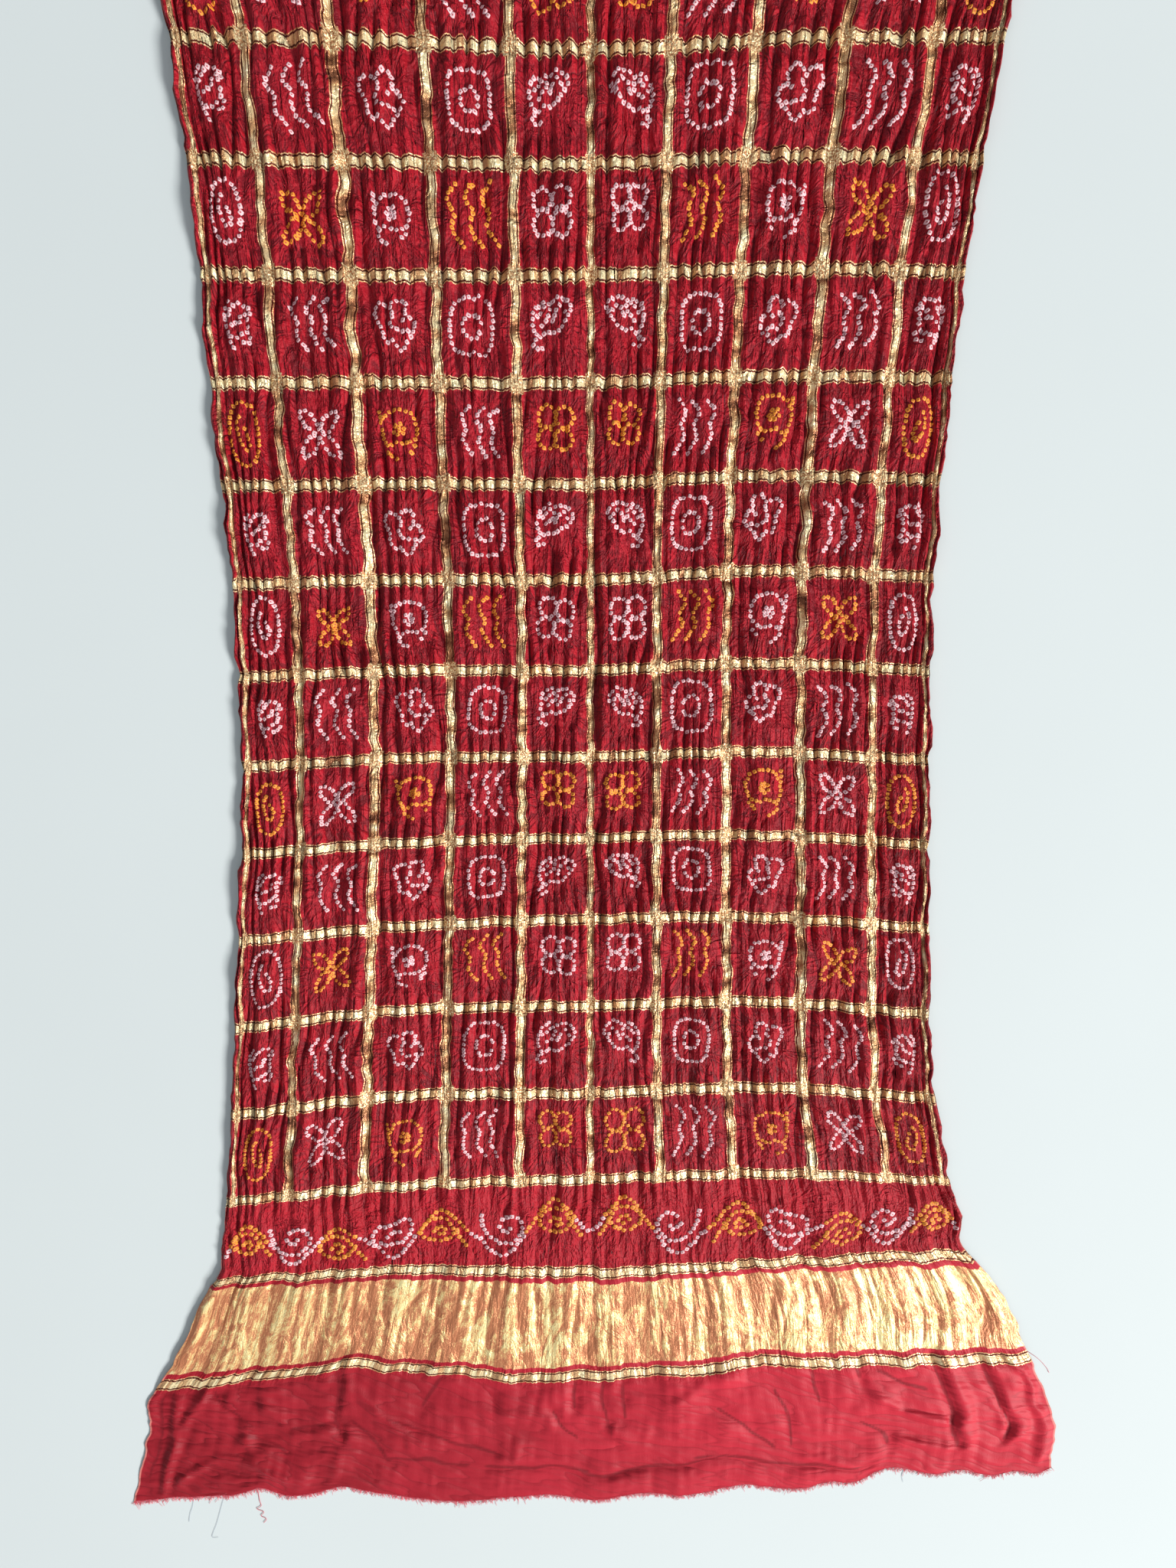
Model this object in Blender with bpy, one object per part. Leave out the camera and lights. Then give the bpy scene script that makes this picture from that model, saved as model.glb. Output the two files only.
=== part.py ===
"""Bandhani cloth, laid out face up on a surface: one crinkled silk sheet, spread at its untied end.

Frame, in metres: +X across the cloth, +Y up its length from the raw end, +Z out of its face.
The origin is on the surface, under the middle of the cloth's box.
U and V are places on the cloth as woven: U across from its centre line, V up from the raw end.
"""
import math
from collections import namedtuple

import bpy
import numpy as np

# The cloth as woven
CLOTH_WIDTH = 0.92
ROW_PITCH = 0.092
ROWS_OF_CHECKS = 13
LAST_BAND_V = 0.395
TOP_MARGIN = 0.017
CLOTH_LENGTH = LAST_BAND_V + ROWS_OF_CHECKS * ROW_PITCH + TOP_MARGIN

# The sheet as it lies
SHEET_THICKNESS = 0.0014
RIDGE_HEIGHT = 0.0042
RIDGES_ACROSS = 15
# The tying draws the cloth in from here up, over this length
GATHER_START = 0.17
GATHER_RUN = 0.20
SIDE_BUNCHING = 0.33
SIDE_SCALLOP = 0.0018

# Height of each column of a ridge, as a share of its crest: two columns lie on the surface.
# The first column is part of the way up a ridge, so that the two in the middle of the cloth lie flat.
RIDGE_PROFILE = (0.0, 0.0, 0.72, 1.0, 0.62)
FIRST_COLUMN = 3
RIDGE_ON_BAND = 0.68
RIDGE_UNEVENNESS = 0.45
RIDGE_SEED = 13
# How far the ridges stray across the cloth, and in how many swings over its width
COLUMN_WANDER = ((0.0045, 3), (0.0030, 7))

# One row for each section across the cloth, from the raw end up.
# v: place as woven. y: where its middle lies. left, right: half widths there, both positive.
# The four lifts say how far the line runs up from its middle at both ends and half way to them.
# crinkle: share of the full ridge height.
Section = namedtuple("Section", "v y left right lift_left lift_half_left lift_half_right lift_right crinkle")
SECTIONS = (
    Section(0.000, -0.686, 0.461, 0.461, 0.000, 0.000, 0.000, 0.000, 0.10),
    Section(0.080, -0.609, 0.439, 0.456, 0.000, 0.002, 0.010, 0.023, 0.22),
    Section(0.158, -0.534, 0.423, 0.425, -0.013, 0.008, 0.013, 0.022, 0.55),
    Section(0.173, -0.521, 0.413, 0.418, -0.011, 0.006, 0.014, 0.023, 0.60),
    Section(0.223, -0.473, 0.387, 0.400, -0.011, 0.004, 0.014, 0.020, 0.62),
    Section(0.273, -0.424, 0.362, 0.367, -0.008, 0.003, 0.012, 0.019, 0.70),
    Section(0.290, -0.409, 0.354, 0.353, -0.013, 0.002, 0.010, 0.020, 0.75),
    Section(0.340, -0.361, 0.343, 0.343, -0.020, -0.002, 0.008, 0.010, 0.85),
    Section(0.395, -0.310, 0.336, 0.330, -0.025, -0.006, 0.006, -0.002, 0.95),
    Section(0.487, -0.221, 0.324, 0.309, -0.023, -0.002, 0.006, -0.005, 1.00),
    Section(0.671, -0.053, 0.304, 0.291, -0.021, -0.006, 0.002, -0.009, 1.05),
    Section(0.855, 0.091, 0.287, 0.279, -0.009, -0.001, 0.004, -0.003, 1.10),
    Section(1.039, 0.235, 0.282, 0.270, -0.004, 0.000, 0.007, 0.002, 1.10),
    Section(1.223, 0.382, 0.286, 0.272, 0.000, 0.000, 0.005, 0.003, 1.05),
    Section(1.407, 0.531, 0.289, 0.281, 0.003, 0.001, 0.005, 0.003, 1.00),
    Section(1.499, 0.603, 0.295, 0.290, 0.008, 0.006, 0.007, 0.008, 1.00),
    Section(1.608, 0.688, 0.301, 0.298, 0.003, 0.002, 0.003, 0.003, 0.90),
)
LINE_STATIONS = (-1.0, -0.5, 0.0, 0.5, 1.0)

# The raw end's wavy outline. u: across, as woven. lift: above the line y of the first section
RawPoint = namedtuple("RawPoint", "u lift")
RAW_EDGE = (
    RawPoint(-0.460, -0.005),
    RawPoint(-0.425, 0.001),
    RawPoint(-0.390, 0.003),
    RawPoint(-0.350, 0.007),
    RawPoint(-0.330, 0.013),
    RawPoint(-0.305, 0.004),
    RawPoint(-0.285, 0.005),
    RawPoint(-0.251, 0.015),
    RawPoint(-0.220, 0.008),
    RawPoint(-0.190, 0.003),
    RawPoint(-0.128, -0.003),
    RawPoint(-0.086, 0.001),
    RawPoint(-0.037, 0.005),
    RawPoint(0.005, -0.001),
    RawPoint(0.059, 0.007),
    RawPoint(0.095, 0.004),
    RawPoint(0.120, 0.009),
    RawPoint(0.148, 0.018),
    RawPoint(0.193, 0.013),
    RawPoint(0.215, 0.014),
    RawPoint(0.240, 0.022),
    RawPoint(0.265, 0.021),
    RawPoint(0.295, 0.038),
    RawPoint(0.345, 0.032),
    RawPoint(0.376, 0.036),
    RawPoint(0.400, 0.030),
    RawPoint(0.427, 0.035),
    RawPoint(0.447, 0.032),
    RawPoint(0.460, 0.040),
)
RAW_EDGE_REACH = 0.10

# Hand-placed folds of the untied end, each a soft ridge between two places on the woven cloth
Crease = namedtuple("Crease", "u1 v1 u2 v2 height width")
CREASES = (
    Crease(0.000, 0.032, 0.190, 0.040, 0.0060, 0.010),
    Crease(0.190, 0.040, 0.345, 0.008, 0.0055, 0.010),
    Crease(-0.258, 0.165, -0.255, 0.020, 0.0050, 0.010),
    Crease(-0.405, 0.150, -0.330, 0.060, 0.0045, 0.013),
    Crease(-0.330, 0.105, -0.215, 0.070, 0.0045, 0.012),
    Crease(-0.420, 0.045, -0.290, 0.030, 0.0050, 0.012),
    Crease(-0.200, 0.110, -0.080, 0.060, 0.0045, 0.014),
    Crease(-0.090, 0.125, 0.060, 0.100, 0.0035, 0.013),
    Crease(0.075, 0.130, 0.160, 0.075, 0.0040, 0.013),
    Crease(0.369, 0.158, 0.368, 0.042, 0.0055, 0.011),
    Crease(0.416, 0.158, 0.420, 0.050, 0.0060, 0.012),
    Crease(0.180, 0.090, 0.300, 0.120, 0.0035, 0.014),
    Crease(-0.445, 0.300, -0.452, 0.180, 0.0060, 0.012),
    Crease(0.447, 0.270, 0.440, 0.160, 0.0055, 0.012),
)

# Places where a fold draws the borders up. rise: along the cloth. reach: half width
Pinch = namedtuple("Pinch", "u v rise reach")
PINCHES = (
    Pinch(-0.250, 0.165, 0.012, 0.022),
    Pinch(0.185, 0.170, 0.007, 0.040),
    Pinch(-0.080, 0.165, -0.006, 0.050),
)
PINCH_LENGTH = 0.055

# Rows of the mesh, up the cloth: two to each check, and these over the untied end and its borders
ROWS_PER_CHECK = 2
END_ROWS_V = (0.0, 0.028, 0.056, 0.086, 0.120, 0.160, 0.204, 0.248, 0.290, 0.340)

CRIMSON = (0.32, 0.012, 0.035, 1.0)
SILK_ROUGHNESS = 0.45
SHARP_ANGLE = math.radians(50)


def curve_through(knots, values, at):
    """Smooth curve through the points (knots, values), read at the places at."""
    knots = np.asarray(knots)
    values = np.asarray(values)
    slopes = np.gradient(values, knots)
    low = np.clip(np.searchsorted(knots, at, side="right") - 1, 0, len(knots) - 2)
    gap = knots[low + 1] - knots[low]
    t = (at - knots[low]) / gap
    start = (1 + 2 * t) * (1 - t) ** 2 * values[low] + t * (1 - t) ** 2 * gap * slopes[low]
    end = t * t * (3 - 2 * t) * values[low + 1] + t * t * (t - 1) * gap * slopes[low + 1]
    return start + end


def section_value(name, v):
    """One column of the section table, at the woven places v."""
    knots = [section.v for section in SECTIONS]
    return curve_through(knots, [getattr(section, name) for section in SECTIONS], v)


def line_lift(side, v):
    """How far the line through v runs up from its middle, at side from -1 to 1."""
    lifts = np.stack([
        section_value("lift_left", v),
        section_value("lift_half_left", v),
        np.zeros_like(v),
        section_value("lift_half_right", v),
        section_value("lift_right", v),
    ])
    spacing = LINE_STATIONS[1] - LINE_STATIONS[0]
    slopes = np.gradient(lifts, spacing, axis=0)
    place = np.clip((side - LINE_STATIONS[0]) / spacing, 0.0, len(LINE_STATIONS) - 1)
    low = np.minimum(place.astype(int), len(LINE_STATIONS) - 2)
    t = place - low
    at = np.arange(v.size)
    start = (1 + 2 * t) * (1 - t) ** 2 * lifts[low, at] + t * (1 - t) ** 2 * spacing * slopes[low, at]
    end = t * t * (3 - 2 * t) * lifts[low + 1, at] + t * t * (t - 1) * spacing * slopes[low + 1, at]
    return start + end


def laid_plan(u, v):
    """Where the woven places (u, v) lie on the surface, as two arrays x and y."""
    across = u / (CLOTH_WIDTH / 2)
    tied = np.clip((v - GATHER_START) / GATHER_RUN, 0.0, 1.0)
    side = across + SIDE_BUNCHING * tied * across ** 3 * (1 - across ** 2)
    half = np.where(side < 0, section_value("left", v), section_value("right", v))
    row_phase = (v - LAST_BAND_V) / ROW_PITCH
    scallop = SIDE_SCALLOP * tied * np.sin(math.pi * row_phase) ** 2
    x = side * (half + scallop)
    raw = curve_through([point.u for point in RAW_EDGE], [point.lift for point in RAW_EDGE], u)
    y = section_value("y", v) + line_lift(side, v) + raw * np.clip(1 - v / RAW_EDGE_REACH, 0.0, 1.0)
    for pinch in PINCHES:
        reach = np.exp(-((u - pinch.u) / pinch.reach) ** 2 - ((v - pinch.v) / PINCH_LENGTH) ** 2)
        y = y + pinch.rise * reach
    return x, y


def crease_height(u, v):
    """Height of the hand-placed folds over the surface."""
    height = np.zeros_like(u)
    for crease in CREASES:
        run_u = crease.u2 - crease.u1
        run_v = crease.v2 - crease.v1
        length = math.hypot(run_u, run_v)
        along = ((u - crease.u1) * run_u + (v - crease.v1) * run_v) / length ** 2
        past_end = np.maximum(np.maximum(-along, along - 1.0), 0.0) * length
        off = ((u - crease.u1) * run_v - (v - crease.v1) * run_u) / length
        height = np.maximum(height, crease.height * np.exp(-(off ** 2 + past_end ** 2) / crease.width ** 2))
    return height


def mesh_columns():
    """Woven places across the cloth, one for each column, with ridges of uneven width."""
    count = RIDGES_ACROSS * len(RIDGE_PROFILE)
    share = np.arange(count + 1) / count
    wander = sum(reach * np.sin(2 * math.pi * swings * share) for reach, swings in COLUMN_WANDER)
    return CLOTH_WIDTH * (share - 0.5) + wander


def mesh_rows():
    """Woven places up the cloth, one for each row of the mesh."""
    checks = LAST_BAND_V + np.arange(ROWS_OF_CHECKS * ROWS_PER_CHECK + 1) * ROW_PITCH / ROWS_PER_CHECK
    return np.concatenate([END_ROWS_V, checks, [CLOTH_LENGTH]])


def under_side(u, v):
    """Height of the cloth's under side over the surface, at the mesh's rows and columns."""
    rows, columns = u.shape
    place = np.arange(columns) + FIRST_COLUMN
    profile = np.take(RIDGE_PROFILE, place % len(RIDGE_PROFILE))
    ridge = place // len(RIDGE_PROFILE)
    draws = np.random.default_rng(RIDGE_SEED).uniform(-1.0, 1.0, (rows, RIDGES_ACROSS + 1))
    swell = 1 + RIDGE_UNEVENNESS * draws[:, ridge]
    on_band = np.ones(rows)
    first_band = len(END_ROWS_V)
    on_band[first_band:rows - 1:ROWS_PER_CHECK] = RIDGE_ON_BAND
    crinkle = section_value("crinkle", v.ravel()).reshape(v.shape)
    height = RIDGE_HEIGHT * crinkle * swell * profile * on_band[:, None]
    return np.maximum(height, crease_height(u, v))


def sheet_mesh(name):
    """Closed mesh of the sheet: its face, its under side and the four edges between them."""
    u, v = np.meshgrid(mesh_columns(), mesh_rows())
    x, y = laid_plan(u.ravel(), v.ravel())
    low = under_side(u, v).ravel()
    under = np.stack([x, y, low], axis=1)
    face = np.stack([x, y, low + SHEET_THICKNESS], axis=1)
    rows, columns = u.shape
    index = np.arange(rows * columns).reshape(rows, columns)
    a, b = index[:-1, :-1].ravel(), index[:-1, 1:].ravel()
    c, d = index[1:, 1:].ravel(), index[1:, :-1].ravel()
    lower = np.concatenate([np.stack([a, c, b], axis=1), np.stack([a, d, c], axis=1)])
    upper = lower[:, ::-1] + rows * columns
    rim = np.concatenate([index[0, :-1], index[:-1, -1], index[-1, :0:-1], index[:0:-1, 0]])
    after = np.roll(rim, -1)
    top_rim, top_after = rim + rows * columns, after + rows * columns
    edges = np.concatenate([np.stack([rim, after, top_after], axis=1),
                            np.stack([rim, top_after, top_rim], axis=1)])
    mesh = bpy.data.meshes.new(name)
    faces = np.concatenate([lower, upper, edges])
    mesh.from_pydata(np.concatenate([under, face]).tolist(), [], faces.tolist())
    mesh.update()
    return mesh


def silk_material():
    """Plain crimson silk."""
    material = bpy.data.materials.new("crimson_silk")
    material.use_nodes = True
    shader = material.node_tree.nodes["Principled BSDF"]
    shader.inputs["Base Color"].default_value = CRIMSON
    shader.inputs["Roughness"].default_value = SILK_ROUGHNESS
    shader.inputs["Metallic"].default_value = 0.0
    return material


def main():
    for old in list(bpy.data.objects):
        bpy.data.objects.remove(old, do_unlink=True)
    mesh = sheet_mesh("cloth")
    mesh.materials.append(silk_material())
    mesh.shade_smooth()
    mesh.set_sharp_from_angle(angle=SHARP_ANGLE)
    cloth = bpy.data.objects.new("cloth", mesh)
    bpy.context.scene.collection.objects.link(cloth)


main()
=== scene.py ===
import math
from collections import namedtuple

import bpy
import numpy as np
from mathutils import Matrix, Vector
from mathutils.bvhtree import BVHTree


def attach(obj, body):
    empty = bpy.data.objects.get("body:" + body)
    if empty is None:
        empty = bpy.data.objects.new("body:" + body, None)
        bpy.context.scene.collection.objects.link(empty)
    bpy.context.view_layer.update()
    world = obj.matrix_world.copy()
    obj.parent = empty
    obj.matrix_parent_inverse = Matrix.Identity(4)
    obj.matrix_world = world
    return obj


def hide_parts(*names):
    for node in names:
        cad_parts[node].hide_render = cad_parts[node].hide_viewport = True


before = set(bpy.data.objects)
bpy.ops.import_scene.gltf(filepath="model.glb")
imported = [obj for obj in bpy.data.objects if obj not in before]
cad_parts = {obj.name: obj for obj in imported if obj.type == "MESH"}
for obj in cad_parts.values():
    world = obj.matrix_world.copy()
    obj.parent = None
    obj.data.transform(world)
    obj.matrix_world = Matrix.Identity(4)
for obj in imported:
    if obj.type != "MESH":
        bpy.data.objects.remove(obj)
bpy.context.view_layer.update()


def in_metres(row):
    """A row of millimetres as metres."""
    return [value / 1000 for value in row]


# The cloth as woven
CLOTH_WIDTH = 0.92
COLUMNS_OF_CHECKS = 10
COLUMN_PITCH = 0.088
ROW_PITCH = 0.092
ROWS_OF_CHECKS = 13
LAST_BAND_V = 0.395
TOP_MARGIN = 0.017
CLOTH_LENGTH = LAST_BAND_V + ROWS_OF_CHECKS * ROW_PITCH + TOP_MARGIN
LOWER_LINE_V = 0.160
GOLD_BAND_V = (0.1735, 0.273)
UPPER_LINE_V = 0.287
BORDER_MIDDLE_V = 0.338
BRIGHT_MIDDLE_V = 0.2235
BAND_HALF = 0.0062
COLUMN_BAND_HALF = 0.0058
NARROW_BAND_HALF = 0.0045
END_LINE_EXTRA = 0.0012
WEAVE_EDGE = 0.0004
TWILL_PITCH = 0.0019

# How it lies, as in the solid
SHEET_THICKNESS = 0.0014
GATHER_START = 0.17
GATHER_RUN = 0.20
SIDE_BUNCHING = 0.33
SIDE_SCALLOP = 0.0018

# Lines across the cloth, in millimetres: their place as woven and as laid, how far they reach to each side,
# and how far they run up from their middle
Section = namedtuple("Section", "v y left right lift_left lift_half_left lift_half_right lift_right")
SECTIONS = tuple(Section(*in_metres(row)) for row in (
    (0, -686, 461, 461, 0, 0, 0, 0),
    (80, -609, 439, 456, 0, 2, 10, 23),
    (158, -534, 423, 425, -13, 8, 13, 22),
    (173, -521, 413, 418, -11, 6, 14, 23),
    (223, -473, 387, 400, -11, 4, 14, 20),
    (273, -424, 362, 367, -8, 3, 12, 19),
    (290, -409, 354, 353, -13, 2, 10, 20),
    (340, -361, 343, 343, -20, -2, 8, 10),
    (395, -310, 336, 330, -25, -6, 6, -2),
    (487, -221, 324, 309, -23, -2, 6, -5),
    (671, -53, 304, 291, -21, -6, 2, -9),
    (855, 91, 287, 279, -9, -1, 4, -3),
    (1039, 235, 282, 270, -4, 0, 7, 2),
    (1223, 382, 286, 272, 0, 0, 5, 3),
    (1407, 531, 289, 281, 3, 1, 5, 3),
    (1499, 603, 295, 290, 8, 6, 7, 8),
    (1608, 688, 301, 298, 3, 2, 3, 3),
))
LINE_STATIONS = (-1.0, -0.5, 0.0, 0.5, 1.0)

# Places across the raw edge and how far it is pulled up there, in millimetres
RAW_EDGE = tuple(in_metres(row) for row in (
    (-460, -5), (-425, 1), (-390, 3), (-350, 7), (-330, 13), (-305, 4),
    (-285, 5), (-251, 15), (-220, 8), (-190, 3), (-128, -3), (-86, 1),
    (-37, 5), (5, -1), (59, 7), (95, 4), (120, 9), (148, 18),
    (193, 13), (215, 14), (240, 22), (265, 21), (295, 38), (345, 32),
    (376, 36), (400, 30), (427, 35), (447, 32), (460, 40),
))
RAW_EDGE_REACH = 0.10

# Pinches by the gold end band, in metres: woven place, how far it is pulled up, and half width
PINCHES = ((-0.250, 0.165, 0.012, 0.022), (0.185, 0.170, 0.007, 0.040), (-0.080, 0.165, -0.006, 0.050))
PINCH_LENGTH = 0.055

# The sheet's mesh and its crinkles
MESH_COLUMNS = 340
MESH_ROWS = 292
END_ROWS = 60
END_ROWS_V = 0.18
CRINKLE_PITCH = 0.0165
CRINKLE_DEPTH = 0.0039
CRUMPLE_DEPTH = 0.0017
CROSS_CRINKLE_DEPTH = 0.0012
CROSS_CRINKLE_PITCH = 0.024
BROAD_PUFF_DEPTH = 0.0011
SMALL_PUFF_DEPTH = 0.0004
GATHERED_V = (0.17, 0.47)
GROUND_CLEARANCE = 0.0004
SIDE_WAVER = 0.0016
# Width of the painted shade along the troughs of the untied end's folds
CREASE_SHADE_WIDTH = 0.0031

# Folds of the untied end, in millimetres: from one woven place to another, how high the ridge is, or how deep
# the trough where it is below zero, and its half width
END_CREASES = tuple(in_metres(row) for row in (
    (-446, 140, -449, 30, -4.5, 6),
    (-430, 140, -431, 8, 3.9, 6),
    (-400, 150, -420, 100, 3.6, 7),
    (-393, 141, -366, 106, -4.5, 6),
    (-366, 106, -349, 70, 4.5, 7),
    (-358, 84, -314, 57, -4.2, 6),
    (-334, 117, -310, 90, 3.3, 7),
    (-410, 24, -389, 43, 3.6, 6),
    (-389, 43, -345, 24, -3.3, 6),
    (-370, 52, -310, 28, 3.9, 6),
    (-310, 90, -262, 94, -3.6, 6),
    (-263, 160, -262, 80, -5.4, 5),
    (-246, 95, -206, 50, -3.6, 6),
    (-234, 117, -178, 72, 3.9, 8),
    (-206, 52, -126, 48, -3.3, 6),
    (-206, 98, -100, 62, -3, 7),
    (-152, 155, -168, 118, -3.9, 6),
    (-120, 120, -40, 100, 2.7, 8),
    (-37, 110, -17, 80, -4.2, 5),
    (-17, 152, -14, 124, -3.6, 5),
    (12, 150, 14, 90, -3.3, 6),
    (38, 145, 38, 108, -3.6, 5),
    (14, 90, 45, 70, 2.7, 7),
    (90, 120, 138, 148, 2.7, 8),
    (130, 110, 180, 55, -3.3, 7),
    (194, 125, 200, 60, -3.3, 7),
    (232, 150, 235, 118, -3.9, 5),
    (-100, 45, -2, 38, -3.6, 5),
    (-2, 34, 110, 46, -3.6, 5),
    (110, 52, 265, 22, -5.4, 5),
    (270, 83, 298, 45, -4.2, 6),
    (277, 165, 282, 140, -3.9, 5),
    (300, 112, 358, 70, 4.2, 7),
    (300, 145, 340, 125, -3, 6),
    (362, 160, 362, 45, -6, 5),
    (410, 158, 414, 50, -6.3, 5),
    (376, 150, 374, 60, 3, 10),
    (426, 150, 428, 60, 3, 10),
    (320, 45, 350, 40, 3.6, 6),
    (445, 150, 452, 30, 3.9, 6),
))

# The tied dots, as they lie
DOT_SPACING = 0.0040
DOT_RADIUS = 0.0019
DOT_HEIGHT = 0.0008
DOT_SIDES = 8
BORDER_DOT_SCALE = 1.34
DOT_SCATTER = 0.0005

# How the motifs sit in their squares, and how unevenly
MOTIF_MIDDLE = 0.53
MOTIF_HEIGHT = 0.88
MOTIF_TURN = 0.06
MOTIF_SIZE_CHANGE = 0.05
MOTIF_SHIFT = 0.0018

# The frayed ends of the raw edge
FRAY_COUNT = 2400
FRAY_LENGTH = (0.0022, 0.0072)
LONG_FRAY_SHARE = 0.06
LONG_FRAY_SCALE = 1.6
FRAY_RADIUS = 0.00017
FRAY_ROOT_V = 0.0012
FRAY_TURN = 0.55
FRAY_BEND = 0.5
FRAY_END_LIFT = 0.0008

# The photo's camera: a point of the surface on its axis, its distance and tilt from face on
PHOTO_HEIGHT_PX = 2048
PHOTO_FOCAL_PX = 1538
AXIS_POINT = (-0.002, 0.066, 0.0)
CAMERA_DISTANCE = 0.98
CAMERA_TILT = math.radians(16.25)
SENSOR = 36.0
FLOOR_SIZE = 12.0

# Square lights that face the cloth: name, place in metres, power in watts, and colour
LIGHTS = (
    ("key", (6.4, -4.5, 5.2), 1350.0, (1.0, 0.99, 0.965)),
    ("fill", (-2.2, 2.4, 3.4), 16.0, (0.93, 0.97, 1.0)),
)
LIGHT_SIZE = 2.5
SURROUND_COLOUR = (0.90, 0.95, 1.0, 1.0)
SURROUND_STRENGTH = 0.36


def smooth_step_between(t, gap, start, end, start_slope, end_slope):
    """From start to end over a gap, at t from 0 to 1, with those slopes at its two ends."""
    from_start = (1 + 2 * t) * (1 - t) ** 2 * start + t * (1 - t) ** 2 * gap * start_slope
    to_end = t * t * (3 - 2 * t) * end + t * t * (t - 1) * gap * end_slope
    return from_start + to_end


def curve_through(knots, values, at):
    """Smooth curve through the points (knots, values), read at the places at."""
    knots = np.asarray(knots)
    values = np.asarray(values)
    slopes = np.gradient(values, knots)
    low = np.clip(np.searchsorted(knots, at, side="right") - 1, 0, len(knots) - 2)
    gap = knots[low + 1] - knots[low]
    t = (at - knots[low]) / gap
    return smooth_step_between(t, gap, values[low], values[low + 1], slopes[low], slopes[low + 1])


def section_value(name, v):
    """One column of the section table, at the woven places v."""
    knots = [section.v for section in SECTIONS]
    return curve_through(knots, [getattr(section, name) for section in SECTIONS], v)


def line_lift(side, v):
    """How far the line through v runs up from its middle, at side from -1 to 1."""
    names = ("lift_left", "lift_half_left", None, "lift_half_right", "lift_right")
    lifts = np.stack([section_value(name, v) if name else np.zeros_like(v) for name in names])
    spacing = LINE_STATIONS[1] - LINE_STATIONS[0]
    slopes = np.gradient(lifts, spacing, axis=0)
    place = np.clip((side - LINE_STATIONS[0]) / spacing, 0.0, len(LINE_STATIONS) - 1)
    low = np.minimum(place.astype(int), len(LINE_STATIONS) - 2)
    at = np.arange(v.size)
    ends = lifts[low, at], lifts[low + 1, at], slopes[low, at], slopes[low + 1, at]
    return smooth_step_between(place - low, spacing, *ends)


def laid_plan(u, v):
    """Where the woven places (u, v) lie on the surface, as two arrays x and y."""
    across = u / (CLOTH_WIDTH / 2)
    tied = np.clip((v - GATHER_START) / GATHER_RUN, 0.0, 1.0)
    side = across + SIDE_BUNCHING * tied * across ** 3 * (1 - across ** 2)
    half = np.where(side < 0, section_value("left", v), section_value("right", v))
    row_phase = (v - LAST_BAND_V) / ROW_PITCH
    scallop = SIDE_SCALLOP * tied * np.sin(math.pi * row_phase) ** 2
    x = side * (half + scallop)
    raw = curve_through(*zip(*RAW_EDGE), u)
    y = section_value("y", v) + line_lift(side, v) + raw * np.clip(1 - v / RAW_EDGE_REACH, 0.0, 1.0)
    for pinch_u, pinch_v, rise, width in PINCHES:
        y = y + rise * np.exp(-((u - pinch_u) / width) ** 2 - ((v - pinch_v) / PINCH_LENGTH) ** 2)
    return x, y


def ease(value, low, high):
    """0 below low, 1 above high, and a smooth step between."""
    t = np.clip((value - low) / (high - low), 0.0, 1.0)
    return t * t * (3 - 2 * t)


def between(grid, i, j, t, s):
    """The grid read at t of the way from row i to the next, and s of the way from column j to the next."""
    below = grid[i, j] * (1 - s) + grid[i, j + 1] * s
    above = grid[i + 1, j] * (1 - s) + grid[i + 1, j + 1] * s
    return below * (1 - t) + above * t


def smooth_noise(u, v, cell_u, cell_v, seed):
    """Smooth noise from -1 to 1 over the woven cloth, with cells of that size in metres."""
    a = (u + CLOTH_WIDTH) / cell_u
    b = (v + 0.2) / cell_v
    shape = (int(b.max()) + 2, int(a.max()) + 2)
    grid = np.random.default_rng(seed).uniform(-1.0, 1.0, shape)
    j, i = a.astype(int), b.astype(int)
    return between(grid, i, j, ease(b - i, 0.0, 1.0), ease(a - j, 0.0, 1.0))


def blurred(grid, passes):
    """The grid of heights, each pass averaging it with its neighbours."""
    for _ in range(passes):
        padded = np.pad(grid, 1, mode="edge")
        grid = (padded[1:-1, :-2] + 2 * padded[1:-1, 1:-1] + padded[1:-1, 2:]) / 4
        padded = np.pad(grid, 1, mode="edge")
        grid = (padded[:-2, 1:-1] + 2 * padded[1:-1, 1:-1] + padded[2:, 1:-1]) / 4
    return grid


def solid_heights(x, y):
    """Height of the solid's under side at the places (x, y), from its upper face."""
    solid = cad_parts["cloth"]
    mesh = solid.data
    corners = [v.co[:] for v in mesh.vertices]
    tree = BVHTree.FromPolygons(corners, [p.vertices[:] for p in mesh.polygons])
    down = Vector((0.0, 0.0, -1.0))
    heights = np.zeros(x.size)
    for i, (px, py) in enumerate(zip(x.ravel(), y.ravel())):
        hit = tree.ray_cast(Vector((px, py, 0.1)), down)[0]
        heights[i] = hit.z if hit else SHEET_THICKNESS
    return np.maximum(heights.reshape(x.shape) - SHEET_THICKNESS, 0.0)


def column_band_share(u, v):
    """1 on the zari bands that run up the cloth, 0 off them."""
    off = np.abs(u / COLUMN_PITCH - np.round(u / COLUMN_PITCH)) * COLUMN_PITCH
    return (1 - ease(off, 0.5 * COLUMN_BAND_HALF, 1.3 * COLUMN_BAND_HALF)) * (v > LAST_BAND_V)


def row_band_share(v):
    """1 on the zari bands that run across the cloth, 0 off them."""
    off = np.abs((v - LAST_BAND_V) / ROW_PITCH - np.round((v - LAST_BAND_V) / ROW_PITCH)) * ROW_PITCH
    return (1 - ease(off, 0.8 * BAND_HALF, 1.6 * BAND_HALF)) * (v > LAST_BAND_V - 0.03)


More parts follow.
